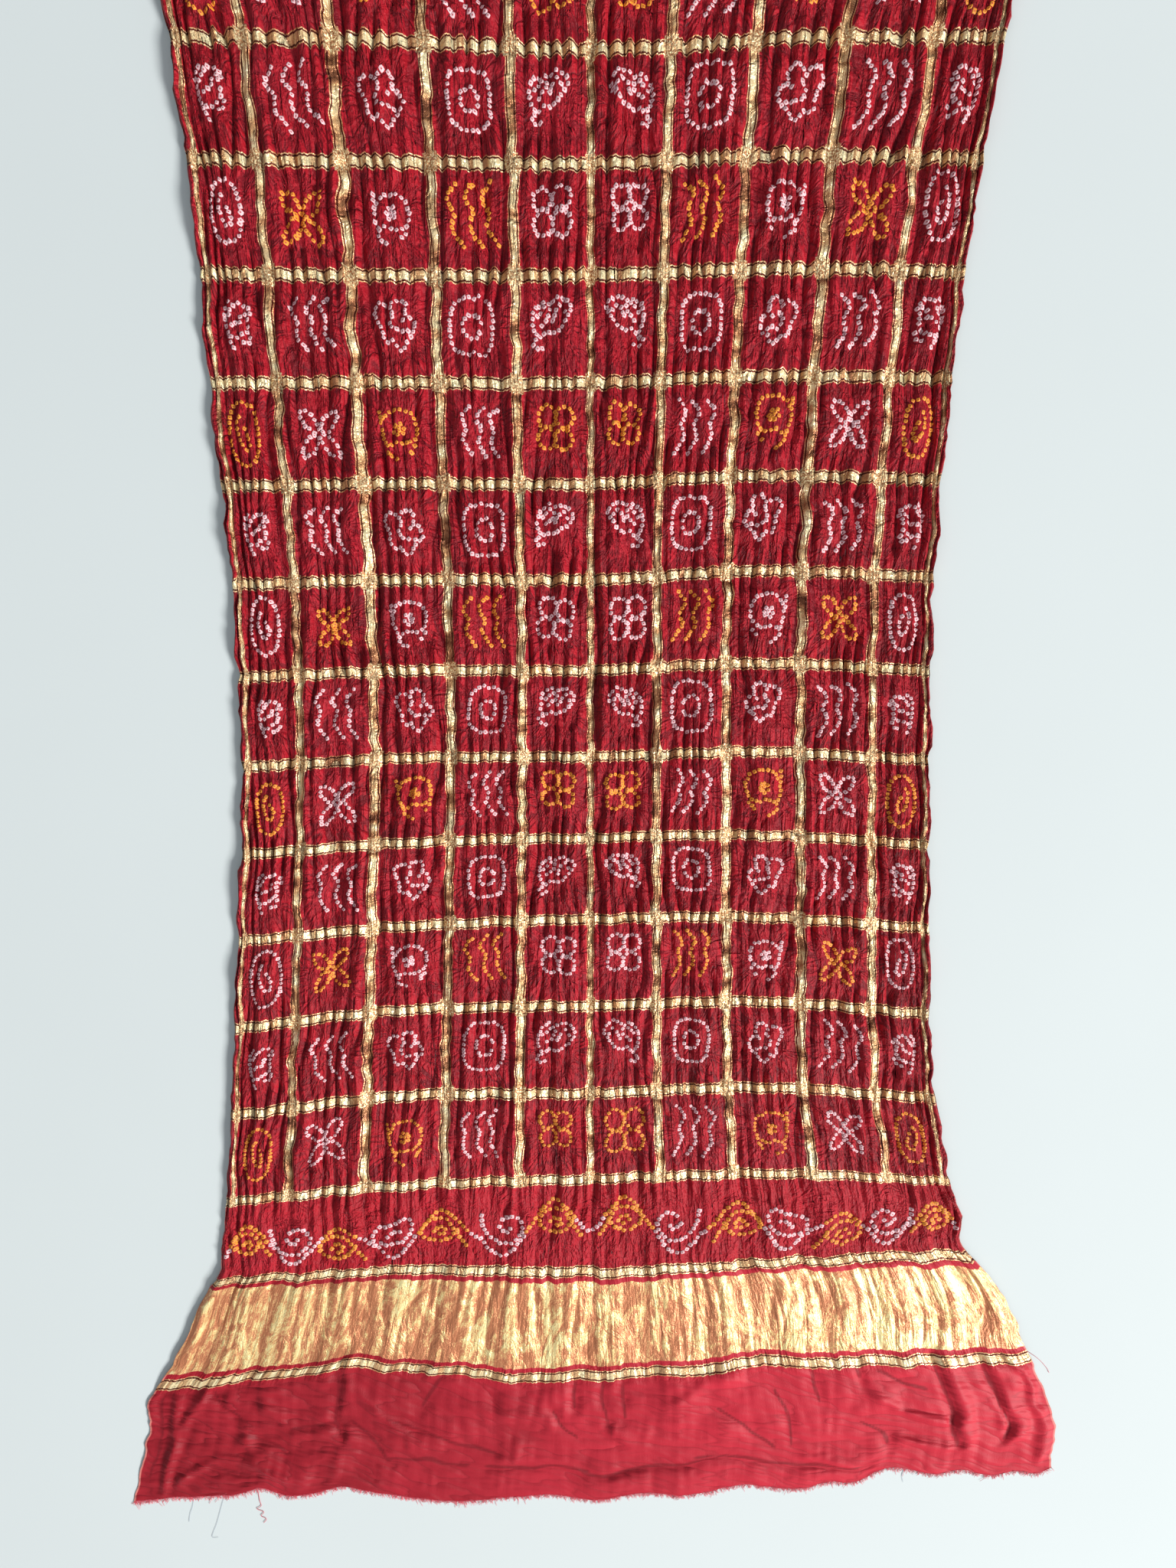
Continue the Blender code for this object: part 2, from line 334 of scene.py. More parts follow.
def motif_share(u, v):
    """1 in the middle of each square, where the dots are tied, and along the creeper; 0 by the bands."""
    a = np.abs(u / COLUMN_PITCH - np.floor(u / COLUMN_PITCH) - 0.5) * 2
    b = np.abs((v - LAST_BAND_V) / ROW_PITCH - np.floor((v - LAST_BAND_V) / ROW_PITCH) - 0.52) * 2
    in_square = (1 - ease(np.hypot(a / 0.95, b), 0.55, 1.0)) * (v > LAST_BAND_V)
    in_border = 1 - ease(np.abs(v - BORDER_MIDDLE_V), 0.025, 0.045)
    return np.maximum(in_square, 0.8 * in_border)


def crinkle_turns(u, v):
    """Turns of the lengthwise crinkles. Each whole number is a sharp hollow between two puffs."""
    wander = 0.75 * smooth_noise(u, v, 0.045, 0.120, 21) + 0.30 * smooth_noise(u, v, 0.017, 0.045, 22)
    return u / CRINKLE_PITCH + wander


def puffs(noise):
    """Noise made into round puffs with sharp hollows between them, about -1 to 1."""
    return 2 * np.abs(noise) ** 0.8 - 0.8


def end_creases(u, v):
    """The listed folds, strayed a little: their height, and how much of a trough's line is there."""
    strayed_u = u + 0.006 * smooth_noise(u, v, 0.030, 0.030, 30)
    strayed_v = v + 0.005 * smooth_noise(u, v, 0.026, 0.026, 31)
    height = np.zeros_like(u)
    line = np.zeros_like(u)
    for u1, v1, u2, v2, peak, width in END_CREASES:
        run_u, run_v = u2 - u1, v2 - v1
        length = math.hypot(run_u, run_v)
        off_u, off_v = strayed_u - u1, strayed_v - v1
        along = (off_u * run_u + off_v * run_v) / length ** 2
        past_end = np.maximum(np.maximum(-along, along - 1.0), 0.0) * length / 2
        off = (off_u * run_v - off_v * run_u) / length
        away = off ** 2 + past_end ** 2
        height += peak * np.exp(-away / width ** 2)
        # A trough's line is where painted shade goes
        if peak < 0:
            line = np.maximum(line, np.exp(-away / CREASE_SHADE_WIDTH ** 2))
    return height, line


def fine_relief(u, v):
    """Height of the fine crinkles over the broad folds."""
    wave = 2 * np.abs(np.sin(math.pi * crinkle_turns(u, v))) ** 0.8 - 1.3
    narrow = puffs(smooth_noise(u, v, 0.0085, 0.040, 23))
    strength = 0.85 + 0.50 * smooth_noise(u, v, 0.020, 0.045, 24)
    gathered = 0.14 + 0.86 * ease(v, *GATHERED_V)
    on_columns = column_band_share(u, v)
    motif = motif_share(u, v)
    crinkle = CRINKLE_DEPTH * gathered * strength * (0.82 * wave + 0.40 * narrow)
    crinkle *= (1 - 0.70 * on_columns) * (1 - 0.40 * motif)
    crumple = puffs(smooth_noise(u, v, 0.014, 0.015, 25)) + 0.6 * puffs(smooth_noise(u, v, 0.008, 0.010, 26))
    crumple *= CRUMPLE_DEPTH * (0.22 + 0.78 * motif) * ease(v, 0.10, 0.20)
    cross_turns = v / CROSS_CRINKLE_PITCH + 0.7 * smooth_noise(u, v, 0.08, 0.03, 27)
    cross = CROSS_CRINKLE_DEPTH * on_columns * (2 * np.abs(np.sin(math.pi * cross_turns)) - 1.2)
    cross *= 1 - row_band_share(v)
    soft = BROAD_PUFF_DEPTH * puffs(smooth_noise(u, v, 0.042, 0.036, 28))
    soft += SMALL_PUFF_DEPTH * puffs(smooth_noise(u, v, 0.018, 0.017, 29))
    plain = 1 - ease(v, 0.14, 0.19)
    return crinkle + crumple + cross + plain * soft + end_creases(u, v)[0]


def row_places():
    """Where the sheet's rows of points lie up the cloth, closer together in the untied end."""
    end_rows = np.linspace(0.0, END_ROWS_V, END_ROWS, endpoint=False)
    return np.concatenate([end_rows, np.linspace(END_ROWS_V, CLOTH_LENGTH, MESH_ROWS + 1 - END_ROWS)])


def sheet_grid():
    """The sheet's points as a grid of rows up the cloth, with its woven places."""
    u, v = np.meshgrid(np.linspace(-CLOTH_WIDTH / 2, CLOTH_WIDTH / 2, MESH_COLUMNS + 1), row_places())
    x, y = laid_plan(u.ravel(), v.ravel())
    x, y = x.reshape(u.shape), y.reshape(u.shape)
    broad = blurred(solid_heights(x, y), 3)
    fine = fine_relief(u, v)
    inward = CLOTH_WIDTH / 2 - np.abs(u)
    by_edge = ease(inward, 0.0, 0.012) * ease(v, 0.0, 0.02)
    lift = CRINKLE_DEPTH * ease(v, 0.13, 0.40)
    z = broad + (fine + lift) * (0.35 + 0.65 * by_edge)
    z = GROUND_CLEARANCE + np.maximum(z, 0.35 * np.maximum(z, -0.001) + 0.0004)
    lean = 0.45 * fine * by_edge
    waver = SIDE_WAVER * (smooth_noise(u, v, 0.5, 0.016, 32) + 0.6 * smooth_noise(u, v, 0.5, 0.007, 33))
    ragged = 0.0012 * smooth_noise(u, v, 0.014, 0.5, 34) + 0.0007 * smooth_noise(u, v, 0.005, 0.5, 35)
    x = x + np.sign(u) * waver * (1 - ease(inward, 0.0, 0.030))
    y = y + lean + ragged * (1 - ease(v, 0.0, 0.015))
    return u, v, x, y, z


def new_mesh_object(name, points, faces, material, smooth=True):
    """A mesh object with those points and faces, linked and given its material."""
    mesh = bpy.data.meshes.new(name)
    mesh.from_pydata(points.tolist(), [], faces)
    mesh.update()
    if smooth:
        mesh.shade_smooth()
    mesh.materials.append(material)
    made = bpy.data.objects.new(name, mesh)
    bpy.context.scene.collection.objects.link(made)
    return made


def set_uv(mesh, name, values):
    """Writes a UV map from one pair of values for each point."""
    layer = mesh.uv_layers.new(name=name)
    corner_points = np.empty(len(mesh.loops), dtype=np.int32)
    mesh.loops.foreach_get("vertex_index", corner_points)
    layer.data.foreach_set("uv", values[corner_points].astype(np.float32).ravel())


def set_float(mesh, name, values):
    """Writes a number for each point, for the material to read."""
    mesh.attributes.new(name, "FLOAT", "POINT").data.foreach_set("value", values.astype(np.float32).ravel())


class Graph:
    """Short calls that build a material's nodes."""

    def __init__(self, name):
        self.material = bpy.data.materials.new(name)
        self.material.use_nodes = True
        self.tree = self.material.node_tree
        self.shader = self.tree.nodes["Principled BSDF"]

    def feed(self, socket, value):
        """Links a socket, or sets it to a number or to a colour's red, green and blue."""
        if isinstance(value, bpy.types.NodeSocket):
            self.tree.links.new(value, socket)
        else:
            socket.default_value = (*value, 1.0) if isinstance(value, tuple) else value

    def node(self, kind, inputs=None, **settings):
        """A node with those settings, and with inputs by name or number."""
        made = self.tree.nodes.new(kind)
        for key, value in settings.items():
            setattr(made, key, value)
        for key, value in (inputs or {}).items():
            self.feed(made.inputs[key], value)
        return made

    def math(self, operation, *values, clamp=False):
        made = self.node("ShaderNodeMath", dict(enumerate(values)), operation=operation, use_clamp=clamp)
        return made.outputs[0]

    def chain(self, operation, first, *others):
        """The values taken together, two at a time."""
        for other in others:
            first = self.math(operation, first, other)
        return first

    def add(self, *values):
        return self.chain("ADD", *values)

    def mul(self, *values):
        return self.chain("MULTIPLY", *values)

    def most(self, *values):
        return self.chain("MAXIMUM", *values)

    def sub(self, a, b):
        return self.math("SUBTRACT", a, b)

    def div(self, a, b):
        return self.math("DIVIDE", a, b)

    def size(self, value):
        """The value without its sign."""
        return self.math("ABSOLUTE", value)

    def rest(self, share):
        """What the share leaves of 1."""
        return self.sub(1.0, share)

    def swing(self, noise, reach):
        """Noise centred on 0 and made to run over that reach."""
        return self.mul(self.sub(noise, 0.5), reach)

    def step(self, value, low, high):
        """0 below low, 1 above high, and a smooth step between."""
        inputs = {"Value": value, "From Min": low, "From Max": high}
        return self.node("ShaderNodeMapRange", inputs, interpolation_type="SMOOTHSTEP").outputs["Result"]

    def fall(self, value, low, high):
        """1 below low, 0 above high, and a smooth step between."""
        return self.rest(self.step(value, low, high))

    def attribute(self, name):
        return self.node("ShaderNodeAttribute", attribute_name=name).outputs["Fac"]

    def uv(self, name):
        """The two places of a UV map."""
        places = self.node("ShaderNodeUVMap", uv_map=name).outputs[0]
        return self.node("ShaderNodeSeparateXYZ", {0: places}).outputs[:2]

    def object_place(self):
        return self.node("ShaderNodeTexCoord").outputs["Object"]

    def vector(self, x, y, z):
        return self.node("ShaderNodeCombineXYZ", {0: x, 1: y, 2: z}).outputs[0]

    def noise(self, vector, scale=1.0, detail=2.0, roughness=0.5, distortion=0.0):
        inputs = {"Vector": vector, "Scale": scale, "Detail": detail, "Roughness": roughness,
                  "Distortion": distortion}
        return self.node("ShaderNodeTexNoise", inputs, noise_dimensions="3D").outputs["Fac"]

    def field(self, u, v, per_u, per_v, layer, **settings):
        """Noise over the woven cloth, with that many cells for each metre across and up it."""
        return self.noise(self.vector(self.mul(u, per_u), self.mul(v, per_v), layer), **settings)

    def ramp(self, factor, *stops):
        """Colour ramp through (place, (r, g, b)) or (place, (r, g, b, alpha)) stops: colour, alpha."""
        made = self.node("ShaderNodeValToRGB", {"Fac": factor})
        points = made.color_ramp.elements
        while len(points) < len(stops):
            points.new(0.5)
        for point, (place, colour) in zip(points, stops):
            point.position = place
            point.color = (*colour, 1.0) if len(colour) == 3 else colour
        return made.outputs["Color"], made.outputs["Alpha"]

    def mix(self, factor, a, b, blend="MIX"):
        made = self.node("ShaderNodeMix", data_type="RGBA", blend_type=blend)
        for place, value in ((0, factor), (6, a), (7, b)):
            self.feed(made.inputs[place], value)
        return made.outputs[2]

    def folded(self, value):
        """Noise made into puffs: 0 along lines where it passes its middle, and 1 far from them."""
        doubled = self.sub(self.mul(value, 2.0), 1.0)
        return self.math("MULTIPLY", self.size(doubled), 2.6, clamp=True)

    def bump(self, height, distance, strength, under=None):
        inputs = {"Strength": strength, "Distance": distance, "Height": height}
        if under is not None:
            inputs["Normal"] = under
        return self.node("ShaderNodeBump", inputs).outputs[0]

    def finish(self, **inputs):
        for key, value in inputs.items():
            self.feed(self.shader.inputs[key.replace("_", " ").title()], value)
        return self.material


# Colours, as linear red, green and blue
CRIMSON = (0.390, 0.006, 0.016)
# Painted shade in the creases of the tied squares
CRIMSON_SHADE = (0.080, 0.002, 0.006)
# Painted highlight on the ridges of the tied squares
CRIMSON_HIGHLIGHT = (0.620, 0.032, 0.054)
END_CRIMSON = (0.520, 0.018, 0.038)
# Partly tone, partly painted shade towards the untied end's left
END_CRIMSON_DARK = (0.280, 0.007, 0.016)
# Painted shade in the untied end's wrinkles and fold troughs
END_CREASE_SHADE = (0.170, 0.004, 0.010)
# Gold colours: the zari's own tone, and also its painted highlights and painted shade
GOLD_BRIGHT = (1.000, 0.860, 0.520)
GOLD_PALE = (0.920, 0.680, 0.370)
GOLD = (0.660, 0.370, 0.170)
GOLD_TAN = (0.420, 0.175, 0.080)
# Painted shade in the zari's hollows and cross creases
GOLD_SHADE = (0.160, 0.055, 0.025)
GOLD_SPARK = (0.980, 0.800, 0.390)
GOLD_YELLOW = (0.900, 0.600, 0.260)
GOLD_ORANGE = (0.740, 0.330, 0.160)
GOLD_AMBER = (0.780, 0.440, 0.190)
GOLD_BROWN = (0.560, 0.210, 0.100)
EDGE_PINK = (0.800, 0.330, 0.270)
TIED_WHITE = (0.860, 0.570, 0.600)
TIED_ORANGE = (0.900, 0.330, 0.025)
THREAD_CRIMSON = (0.50, 0.05, 0.08)
THREAD_GREY = (0.20, 0.24, 0.30)
FLOOR_WHITE = (0.600, 0.650, 0.655)

# Where a zari band's dark line begins and ends, from its middle, 0, to past its edge, 1
DARK_LINE = (0.470, 0.640)


def distance_to_lines(g, value, pitch):
    """Distance to the nearest of the evenly spaced lines, and that line's number."""
    share = g.div(value, pitch)
    nearest = g.math("ROUND", share)
    return g.mul(g.size(g.sub(share, nearest)), pitch), nearest


def band_colours(g, off, half, gold):
    """A zari band's colours from its middle to its edge, with a dark line inside, and its mask."""
    place = g.div(g.div(off, half), 1.25)
    line = (0.14, 0.03, 0.03)
    stripes, mask = g.ramp(
        place,
        (DARK_LINE[0] - 0.030, (1.0, 1.0, 1.0)),
        (DARK_LINE[0], line),
        (DARK_LINE[1], line),
        (DARK_LINE[1] + 0.030, (1.0, 0.92, 0.88)),
        (0.715, (1.0, 0.80, 0.74)),
        (0.770, (1.0, 0.62, 0.60)),
        (0.800, (0.9, 0.30, 0.32, 0.0)),
    )
    return g.mix(1.0, gold, stripes, "MULTIPLY"), mask


def squares_places(g, u, v):
    """Noise that runs out from the middle of each square, and the distance from that middle, 1 at a band."""
    column = g.div(u, COLUMN_PITCH)
    row = g.div(g.sub(v, LAST_BAND_V), ROW_PITCH)
    a = g.mul(g.sub(g.math("FRACT", column), 0.5), 2.0)
    b = g.mul(g.sub(g.math("FRACT", row), 0.55), 2.0)
    away = g.math("SQRT", g.add(g.mul(a, a), g.mul(b, b)))
    safe = g.most(away, 0.05)
    number = g.add(g.mul(g.math("FLOOR", column), 1.7), g.mul(g.math("FLOOR", row), 2.3))
    turn = g.vector(g.mul(g.div(a, safe), 3.4), g.mul(g.div(b, safe), 3.4),
                    g.add(number, g.mul(away, 1.6)))
    return g.noise(turn, roughness=0.6, distortion=0.5), away


def cloth_material():
    """Crimson silk with woven zari checks, borders and a gold end band."""
    g = Graph("bandhani_silk")
    from_side, v = g.uv("woven")
    u = g.sub(from_side, CLOTH_WIDTH / 2)
    tied = g.attribute("tied")
    turns = g.attribute("turns")
    # Lines along the untied end's fold troughs, for painted shade
    trough = g.attribute("crease_shade")

    # Noise over the cloth as woven
    along = g.field(u, v, 150.0, 16.0, 0.0, detail=3.0, distortion=0.6)
    facet = g.field(u, v, 120.0, 72.0, 4.0, detail=3.0, roughness=0.62, distortion=0.8)
    crossing = g.field(u, v, 32.0, 54.0, 8.0, detail=1.5)
    cloud = g.noise(g.vector(u, v, 5.0), scale=9.0)
    patch = g.noise(g.vector(u, v, 9.0), scale=38.0)
    grain = g.noise(g.vector(u, v, 7.0), scale=900.0, detail=1.0)
    speckles = g.noise(g.vector(u, v, 10.0), scale=560.0, detail=1.0)
    pleats = g.folded(g.field(u, v, 100.0, 10.0, 11.0, distortion=0.5))
    crumples = g.folded(g.field(u, v, 120.0, 62.0, 2.0, detail=2.5, distortion=0.8))
    fine_crumples = g.folded(g.noise(g.vector(u, v, 3.0), scale=260.0))
    slanted_v = g.add(v, g.mul(u, 0.30))
    soft_wrinkles = g.folded(g.field(u, slanted_v, 15.0, 46.0, 6.0, roughness=0.47))
    radial, away = squares_places(g, u, v)
    puckers = g.folded(radial)

    # The checks' lines wander a little, and the two by the gold end band sway as well
    drift = g.field(u, v, 12.0, 42.0, 1.0, detail=1.5)
    column_off, column = distance_to_lines(g, g.add(u, g.swing(drift, 0.0110)), COLUMN_PITCH)
    slim = g.most(g.math("COMPARE", g.size(column), 5.0, 0.1), g.math("COMPARE", column, 0.0, 0.1))
    column_half = g.sub(COLUMN_BAND_HALF, g.mul(slim, COLUMN_BAND_HALF - NARROW_BAND_HALF))
    in_checks = g.step(v, LAST_BAND_V - BAND_HALF, LAST_BAND_V - BAND_HALF + WEAVE_EDGE)
    calm = g.fall(v, 0.28, 0.37)
    sway = g.mul(g.swing(g.field(u, v, 30.0, 5.0, 14.0), 0.016), calm)
    moved_v = g.add(v, g.swing(along, 0.0065), sway)
    row_off, _ = distance_to_lines(g, g.sub(moved_v, LAST_BAND_V), ROW_PITCH)
    row_off = g.add(row_off, g.math("LESS_THAN", v, LAST_BAND_V - ROW_PITCH / 2))
    for line_v in (LOWER_LINE_V, UPPER_LINE_V):
        row_off = g.math("MINIMUM", row_off, g.size(g.sub(moved_v, line_v)))
    row_half = g.add(BAND_HALF, g.mul(calm, END_LINE_EXTRA))

    # Lengthwise crinkles, for painted shade and light: hollow is 1 in their sharp hollows, where shade is
    # painted, and facing is 1 on right faces, painted lighter, and -1 on left ones, painted darker
    hollow = g.fall(g.size(g.math("SINE", g.mul(turns, math.pi))), 0.02, 0.40)
    facing = g.mul(g.math("COSINE", g.mul(g.math("FRACT", turns), math.pi)), -1.0)

    # Zari: bright and dull lengths on the bands across, from random tone and painted highlight and shade by
    # the side each crinkle faces, with painted shade in its hollows; darker twill on the bands up the cloth,
    # painted darker in its cross creases and lighter on their ridges, as painted shade and highlight
    glint = g.add(g.mul(facing, 0.20), g.mul(along, 1.5), -0.25)
    row_gold, _ = g.ramp(glint, (0.22, GOLD_TAN), (0.40, GOLD), (0.54, GOLD_PALE), (0.72, GOLD_BRIGHT))
    # Painted shade in the crinkles' hollows, lighter in the untied end
    row_gold = g.mix(g.mul(hollow, g.sub(0.75, g.mul(calm, 0.45))), row_gold, GOLD_SHADE)
    row_gold = g.mix(g.mul(calm, 0.22), row_gold, GOLD_PALE)
    twill = g.math("SINE", g.mul(g.add(u, v), 2 * math.pi / TWILL_PITCH))
    ridge_shade_and_twill = g.add(crossing, g.mul(twill, 0.035))
    column_gold, _ = g.ramp(ridge_shade_and_twill, (0.28, GOLD_SHADE), (0.38, GOLD_TAN), (0.45, GOLD), (0.56, GOLD_PALE),
                            (0.68, GOLD_BRIGHT))
    row_colour, row_mask = band_colours(g, row_off, row_half, row_gold)
    column_colour, column_mask = band_colours(g, column_off, column_half, column_gold)
    column_mask = g.mul(column_mask, in_checks)
    speckle, _ = g.ramp(speckles, (0.40, GOLD_TAN), (0.50, GOLD), (0.56, GOLD_PALE), (0.66, GOLD_BRIGHT))
    near_row = g.fall(row_off, BAND_HALF * 1.25, BAND_HALF * 1.45)
    near_column = g.fall(column_off, g.mul(column_half, 1.2), g.mul(column_half, 1.4))
    junction = g.mul(near_row, near_column, in_checks)

    # The gold end band: painted pale glints on orange brown, in uneven upright streaks that follow its bump,
    # a little brighter on crinkles that face right, and painted shade in the crinkles' hollows
    low, high = GOLD_BAND_V
    end_mask = g.mul(g.step(moved_v, low - WEAVE_EDGE, low + WEAVE_EDGE),
                     g.fall(moved_v, high - WEAVE_EDGE, high + WEAVE_EDGE))
    streaks = g.field(u, v, 40.0, 17.0, 3.0, detail=5.0, roughness=0.66, distortion=2.3)
    dull_stripe = g.field(u, v, 34.0, 4.0, 13.0, detail=1.0)
    end_glint_and_tone = g.add(g.mul(streaks, 0.62), g.mul(facet, 0.38), g.swing(cloud, 0.22), g.mul(facing, 0.035),
                     g.swing(speckles, 0.20), g.swing(dull_stripe, 0.35))
    end_gold, _ = g.ramp(end_glint_and_tone, (0.43, GOLD_BROWN), (0.490, GOLD_ORANGE), (0.518, GOLD_AMBER),
                         (0.548, GOLD_YELLOW), (0.61, GOLD_SPARK))
    # Painted shade in the crinkles' hollows
    end_gold = g.mix(g.mul(hollow, 0.35), end_gold, GOLD_BROWN)

    # The dyed ground, brighter in the untied end and by the gold band, and darker to the end's left, partly
    # as tone and partly as painted shade of the light from the lower right
    plain = g.fall(v, 0.14, 0.17)
    bright = g.most(plain, g.fall(g.size(g.sub(v, BRIGHT_MIDDLE_V)), 0.049, 0.060))
    end_tone_and_shade = g.add(g.mul(g.step(u, -0.45, 0.40), 0.65), g.mul(cloud, 0.50))
    end_ground = g.mix(g.step(end_tone_and_shade, 0.20, 0.95), END_CRIMSON_DARK, END_CRIMSON)
    ground = g.mix(bright, CRIMSON, end_ground)
    on_squares = g.rest(bright)

    # Painted shade: dark lines where it is puckered, crumpled and pleated, and in the crinkles' hollows;
    # painted highlights on the ridges between them
    past_border = g.step(v, LAST_BAND_V - 0.002, LAST_BAND_V + 0.002)
    pucker_shade = g.mul(g.fall(puckers, 0.02, 0.34), g.step(away, 0.42, 0.70), past_border)
    crumple_shade = g.mul(g.fall(crumples, 0.02, 0.30), tied, 0.75)
    folds = g.mul(g.fall(pleats, 0.02, 0.30), g.rest(g.mul(tied, 0.6)))
    in_border = g.fall(v, LAST_BAND_V - 0.02, LAST_BAND_V + 0.02)
    shade = g.mul(g.most(pucker_shade, crumple_shade, hollow, folds), on_squares, g.step(patch, 0.15, 0.55),
                  g.rest(g.mul(in_border, 0.55)))
    crest_highlight = g.mul(g.step(fine_crumples, 0.45, 1.0), g.step(crumples, 0.55, 1.0))
    by_left = g.fall(u, -0.36, -0.02)
    # Painted shade along the untied end's soft wrinkles, heavier to the left, and along its fold troughs
    wrinkle_shade = g.mul(g.fall(soft_wrinkles, 0.0, 0.16), g.add(0.24, g.mul(by_left, 0.20)))
    crease_shade = g.most(wrinkle_shade, g.mul(g.step(trough, 0.35, 0.95), 0.75))
    selvage = g.step(g.size(u), CLOTH_WIDTH / 2 - 0.0022, CLOTH_WIDTH / 2 - 0.0012)
    # Onto the ground: painted highlights, painted shade, random tone, painted shade of the untied end's
    # wrinkles and folds, and the pink selvage
    for share, tint in ((g.mul(crest_highlight, on_squares, 0.55), CRIMSON_HIGHLIGHT), (g.mul(shade, 0.80), CRIMSON_SHADE),
                        (g.mul(g.step(cloud, 0.40, 0.65), 0.18), END_CRIMSON),
                        (g.mul(crease_shade, plain), END_CREASE_SHADE), (g.mul(selvage, 0.5), EDGE_PINK)):
        ground = g.mix(share, ground, tint)

    colour = g.mix(column_mask, ground, column_colour)
    colour = g.mix(row_mask, colour, row_colour)
    colour = g.mix(g.mul(junction, 0.85), colour, speckle)
    colour = g.mix(end_mask, colour, end_gold)
    gold_mask = g.most(row_mask, column_mask, end_mask, junction)

    # Relief, as noise, height in metres and strength
    normal = None
    for relief, height, strength in (
        (along, 0.0035, g.sub(0.60, g.mul(plain, 0.52))),
        (pleats, 0.0016, g.mul(on_squares, 0.9)),
        (puckers, 0.0016, g.mul(g.step(away, 0.40, 0.70), on_squares)),
        (crumples, 0.0014, g.mul(tied, on_squares)),
        (fine_crumples, 0.0005, g.mul(on_squares, 0.6)),
        (crossing, 0.0060, g.mul(column_mask, 0.9)),
        (streaks, 0.0040, g.mul(end_mask, 0.7)),
        (soft_wrinkles, 0.0028, g.mul(plain, g.add(0.52, g.mul(by_left, 0.46)))),
        (grain, 0.0004, 0.5),
    ):
        normal = g.bump(relief, height, strength, normal)
    material = g.finish(base_color=colour, metallic=g.mul(gold_mask, 0.40),
                        roughness=g.sub(0.60, g.mul(gold_mask, 0.24)), normal=normal)
    g.shader.inputs["Sheen Weight"].default_value = 0.02
    g.shader.inputs["Sheen Roughness"].default_value = 0.4
    g.shader.inputs["Sheen Tint"].default_value = (1.0, 0.45, 0.50, 1.0)
    g.shader.inputs["Specular IOR Level"].default_value = 0.22
    return material


def dot_material(name, colour):
    """A tied dot: a ring of undyed or first-dyed silk round a crimson point."""
    g = Graph(name)
    from_point, unevenness = g.uv("dot")
    ring, _ = g.ramp(from_point, (0.14, CRIMSON), (0.40, colour), (0.80, colour), (0.97, CRIMSON))
    tone = g.add(0.80, g.mul(unevenness, 0.20))
    toned = g.mix(1.0, ring, g.vector(tone, tone, tone), "MULTIPLY")
    fibre = g.noise(g.object_place(), scale=2600.0)
    return g.finish(base_color=toned, roughness=0.6, normal=g.bump(fibre, 0.0004, 0.5))


def thread_material(name, colour):
    """Loose or frayed thread, a little uneven in tone."""
    g = Graph(name)
    tone = g.noise(g.object_place(), scale=240.0, detail=1.0)
    pale = tuple(min(1.0, c * 1.5 + 0.05) for c in colour)
    return g.finish(base_color=g.mix(tone, colour, pale), roughness=0.7)


class LaidSurface:
    """The finished sheet as a surface: gives the point over any woven place."""

    def __init__(self, x, y, z):
        self.points = np.stack([x, y, z], axis=2)

    def at(self, u, v):
        a = np.clip((u / CLOTH_WIDTH + 0.5) * MESH_COLUMNS, 0, MESH_COLUMNS - 1e-6)
        b = np.clip(np.interp(v, row_places(), np.arange(MESH_ROWS + 1)), 0, MESH_ROWS - 1e-6)
        j, i = a.astype(int), b.astype(int)
        return between(self.points, i, j, (b - i)[..., None], (a - j)[..., None])


def make_sheet():
    """The sheet itself, with its woven places as UVs."""
    u, v, x, y, z = sheet_grid()
    rows, columns = u.shape
    points = np.stack([x.ravel(), y.ravel(), z.ravel()], axis=1)
    index = np.arange(rows * columns).reshape(rows, columns)
    faces = np.stack([index[:-1, :-1], index[:-1, 1:], index[1:, 1:], index[1:, :-1]], axis=2).reshape(-1, 4)
    cloth = new_mesh_object("silk_sheet", points, faces.tolist(), cloth_material())
    set_uv(cloth.data, "woven", np.stack([u.ravel() + CLOTH_WIDTH / 2, v.ravel()], axis=1))
    set_float(cloth.data, "tied", motif_share(u, v))
    set_float(cloth.data, "turns", crinkle_turns(u, v))
    # Where the painted shade of the untied end's fold troughs goes
    set_float(cloth.data, "crease_shade", end_creases(u, v)[1])
    return cloth, LaidSurface(x, y, z)


# Motifs: strokes of tied dots in a square, in half squares from its middle, right and up

def arc(cx, cy, rx, ry, start, end, square=0.0, turn=0.0):
    """Part of an oval between two angles in degrees; square above 0 fills its corners out."""
    angle = np.radians(np.linspace(start, end, 40))
    reach = 1 + square * np.sin(2 * angle) ** 2
    x, y = rx * reach * np.cos(angle), ry * reach * np.sin(angle)
    c, s = math.cos(math.radians(turn)), math.sin(math.radians(turn))
    return np.stack([cx + c * x - s * y, cy + s * x + c * y], axis=1)


def path(*points):
    """A smooth line through given points."""
    points = np.array(points)
    knots = np.arange(len(points), dtype=float)
    at = np.linspace(0, len(points) - 1, 12 * len(points))
    return np.stack([curve_through(knots, points[:, 0], at), curve_through(knots, points[:, 1], at)], axis=1)


def stroke(*points):
    """A smooth line through given points, in hundredths of a half square."""
    return path(*points) / 100


